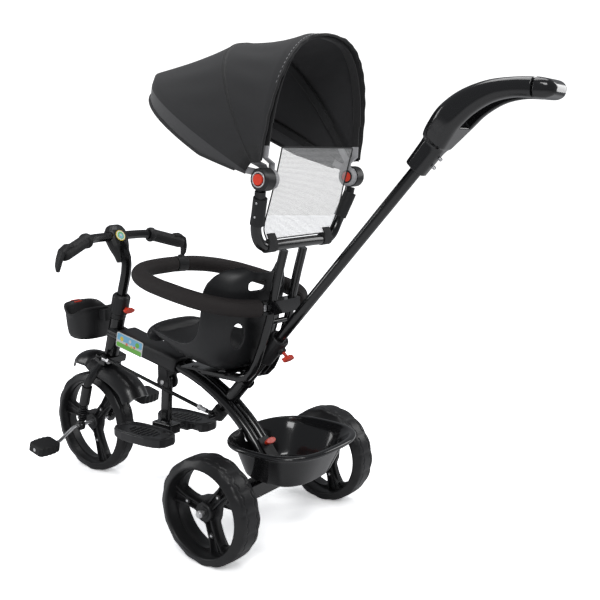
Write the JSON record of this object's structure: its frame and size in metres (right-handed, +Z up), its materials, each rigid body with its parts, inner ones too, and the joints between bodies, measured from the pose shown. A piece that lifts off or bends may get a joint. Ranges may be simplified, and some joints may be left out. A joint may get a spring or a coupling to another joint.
{
  "type": "tricycle",
  "caption": "Push-along tricycle for a small child, with a steering push bar, folding canopy, bucket seat, guard ring, footrest, rear basket and front bucket.",
  "frame": {"origin": "on the ground, under the middle of the whole tricycle", "axes": "+Z up, +Y from the front wheel to the push handle, +X to the rider's left"},
  "size_m": [0.4558, 1.2291, 0.9777],
  "materials": {
    "black_paint": "gloss black powder coat",
    "black_plastic": "fine-grained moulded plastic",
    "satin_plastic": "satin moulded plastic",
    "gloss_plastic": "glossy moulded plastic",
    "moulded_tyre": "one-piece moulded wheel with a ribbed tread",
    "soft_plastic": "soft moulded grip",
    "foam_sleeve": "matt foam sleeve",
    "canopy_cloth": "tight woven cloth with stitched edges",
    "fine_net": "fine light net",
    "grey_strap": "grey ribbed plastic",
    "bright_steel": "zinc-plated",
    "chromed_steel": "bright chrome plate",
    "spring_steel": "black wire",
    "red_plastic": "bright red moulded plastic"
  },
  "bodies": {
    "frame": {"head_tube": "black_paint", "twin_tube_left": "black_paint", "twin_tube_right": "black_paint", "frame_cover": "black_plastic", "axle_beam": "black_paint", "rear_axle": "bright_steel", "post_left": "black_paint", "post_right": "black_paint", "post_crossbar": "black_paint", "seat_plate": "black_paint", "seat": "satin_plastic", "guard_bracket": "black_paint", "canopy_frame": "black_paint", "hub_left": "black_plastic", "hub_right": "black_plastic", "rear_bow": "grey_strap", "rear_net": "fine_net", "canopy_front_panel": "canopy_cloth", "canopy_rear_panel": "canopy_cloth", "bearing_tube": "black_paint", "basket": "gloss_plastic", "footrest_bracket": "black_plastic"},
    "steering": {"fork": "black_paint", "fork_spring_left": "spring_steel", "fork_spring_right": "spring_steel", "fender": "gloss_plastic", "stem_collar": "black_plastic", "handlebar": "black_paint", "handlebar_cover": "black_plastic", "grip_left": "soft_plastic", "grip_right": "soft_plastic", "bucket": "black_plastic"},
    "front_wheel_and_crank": {"front_wheel": "moulded_tyre", "crankshaft": "chromed_steel"},
    "pedal_left": {"pedal_left": "soft_plastic"},
    "pedal_right": {"pedal_right": "soft_plastic"},
    "wheel_left": {"wheel_left": "moulded_tyre"},
    "wheel_right": {"wheel_right": "moulded_tyre"},
    "push_bar": {"push_tube": "black_paint", "push_handle": "gloss_plastic", "socket_collar": "black_plastic", "steering_shaft": "black_paint", "steering_lever": "black_plastic"},
    "steering_rod": {"steering_rod": "black_paint"},
    "stem_knob": {"stem_knob": "red_plastic"},
    "socket_knob": {"socket_knob": "red_plastic"},
    "basket_knob": {"basket_knob": "red_plastic"},
    "hub_button_left": {"hub_button_left": "red_plastic"},
    "hub_button_right": {"hub_button_right": "red_plastic"},
    "clip_button": {"clip_button": "black_plastic"},
    "mid_bow": {"mid_bow": "black_paint"},
    "front_bow": {"front_bow": "grey_strap"},
    "guard_left": {"guard_arm_left": "bright_steel", "guard_foam_left": "foam_sleeve"},
    "guard_right": {"guard_arm_right": "bright_steel", "guard_foam_right": "foam_sleeve", "guard_clip": "black_plastic"},
    "footrest": {"footrest_post": "black_paint"},
    "footpad_left": {"footpad_left": "black_plastic"},
    "footpad_right": {"footpad_right": "black_plastic"}
  },
  "joints": [
    {"name": "steer", "type": "hinge", "parent": "frame", "child": "steering", "pos_m": [0, -0.4261, 0.3], "axis": [0, 0.2823, 0.9593], "range_deg": [-35, 35]},
    {"name": "front_wheel_spin", "type": "hinge", "parent": "steering", "child": "front_wheel_and_crank", "pos_m": [0, -0.4931, 0.1215], "axis": [1, 0, 0], "continuous": true},
    {"name": "pedal_left_spin", "type": "hinge", "parent": "front_wheel_and_crank", "child": "pedal_left", "pos_m": [0.106, -0.55501, 0.07083], "axis": [1, 0, 0], "continuous": true},
    {"name": "pedal_right_spin", "type": "hinge", "parent": "front_wheel_and_crank", "child": "pedal_right", "pos_m": [-0.106, -0.43119, 0.17217], "axis": [1, 0, 0], "continuous": true},
    {"name": "wheel_left_spin", "type": "hinge", "parent": "frame", "child": "wheel_left", "pos_m": [0.1945, 0.0609, 0.105], "axis": [1, 0, 0], "continuous": true},
    {"name": "wheel_right_spin", "type": "hinge", "parent": "frame", "child": "wheel_right", "pos_m": [-0.1945, 0.0609, 0.105], "axis": [1, 0, 0], "continuous": true},
    {"name": "push_turn", "type": "hinge", "parent": "frame", "child": "push_bar", "pos_m": [0, 0.0454, 0.367], "axis": [0, 0.6639, 0.7478], "range_deg": [-41, 41]},
    {"name": "rod_turn", "type": "hinge", "parent": "push_bar", "child": "steering_rod", "pos_m": [0.036, -0.07875, 0.22716], "axis": [0.0436, 0.6633, 0.7471], "range_deg": [-41, 41]},
    {"name": "stem_knob_turn", "type": "hinge", "parent": "steering", "child": "stem_knob", "pos_m": [0, -0.37856, 0.4137], "axis": [0, 0.9593, -0.2823], "continuous": true},
    {"name": "socket_knob_turn", "type": "hinge", "parent": "push_bar", "child": "socket_knob", "pos_m": [0, 0.07861, 0.38031], "axis": [0, 0.7478, -0.6639], "continuous": true},
    {"name": "basket_knob_turn", "type": "hinge", "parent": "frame", "child": "basket_knob", "pos_m": [0, 0.0408, 0.1747], "axis": [0, 0.7771, 0.6293], "continuous": true},
    {"name": "hub_button_left_press", "type": "slide", "parent": "frame", "child": "hub_button_left", "axis": [1, 0, 0], "range_m": [-0.003, 0], "stiffness_N_per_m": 300},
    {"name": "hub_button_right_press", "type": "slide", "parent": "frame", "child": "hub_button_right", "axis": [-1, 0, 0], "range_m": [-0.003, 0], "stiffness_N_per_m": 300},
    {"name": "clip_button_press", "type": "slide", "parent": "guard_right", "child": "clip_button", "axis": [0, 0, 1], "range_m": [-0.002, 0], "stiffness_N_per_m": 300},
    {"name": "mid_bow_fold", "type": "hinge", "parent": "frame", "child": "mid_bow", "pos_m": [0, 0.1512, 0.72], "axis": [1, 0, 0], "range_deg": [-25, 0], "deforming": ["canopy_rear_panel"]},
    {"name": "front_bow_fold", "type": "hinge", "parent": "mid_bow", "child": "front_bow", "pos_m": [0, 0.1512, 0.72], "axis": [1, 0, 0], "range_deg": [-25, 0], "deforming": ["canopy_front_panel"]},
    {"name": "guard_left_open", "type": "hinge", "parent": "frame", "child": "guard_left", "pos_m": [0.0475, 0.07574, 0.47], "axis": [0, 0, 1], "range_deg": [0, 50]},
    {"name": "guard_right_open", "type": "hinge", "parent": "frame", "child": "guard_right", "pos_m": [-0.0475, 0.07574, 0.47], "axis": [0, 0, 1], "range_deg": [-50, 0]},
    {"name": "footrest_fold", "type": "hinge", "parent": "frame", "child": "footrest", "pos_m": [0, -0.2421, 0.262], "axis": [1, 0, 0], "range_deg": [0, 30]},
    {"name": "footpad_left_flip", "type": "hinge", "parent": "footrest", "child": "footpad_left", "pos_m": [0.029, -0.2501, 0.152], "axis": [0, 1, 0], "range_deg": [-85, 0]},
    {"name": "footpad_right_flip", "type": "hinge", "parent": "footrest", "child": "footpad_right", "pos_m": [-0.029, -0.2501, 0.152], "axis": [0, 1, 0], "range_deg": [0, 85]}
  ],
  "couplings": [
    {"joint": "push_turn", "follows": "steer", "ratio": 1.1556},
    {"joint": "rod_turn", "follows": "steer", "ratio": -1.156},
    {"joint": "front_bow_fold", "follows": "mid_bow_fold", "ratio": 1}
  ]
}
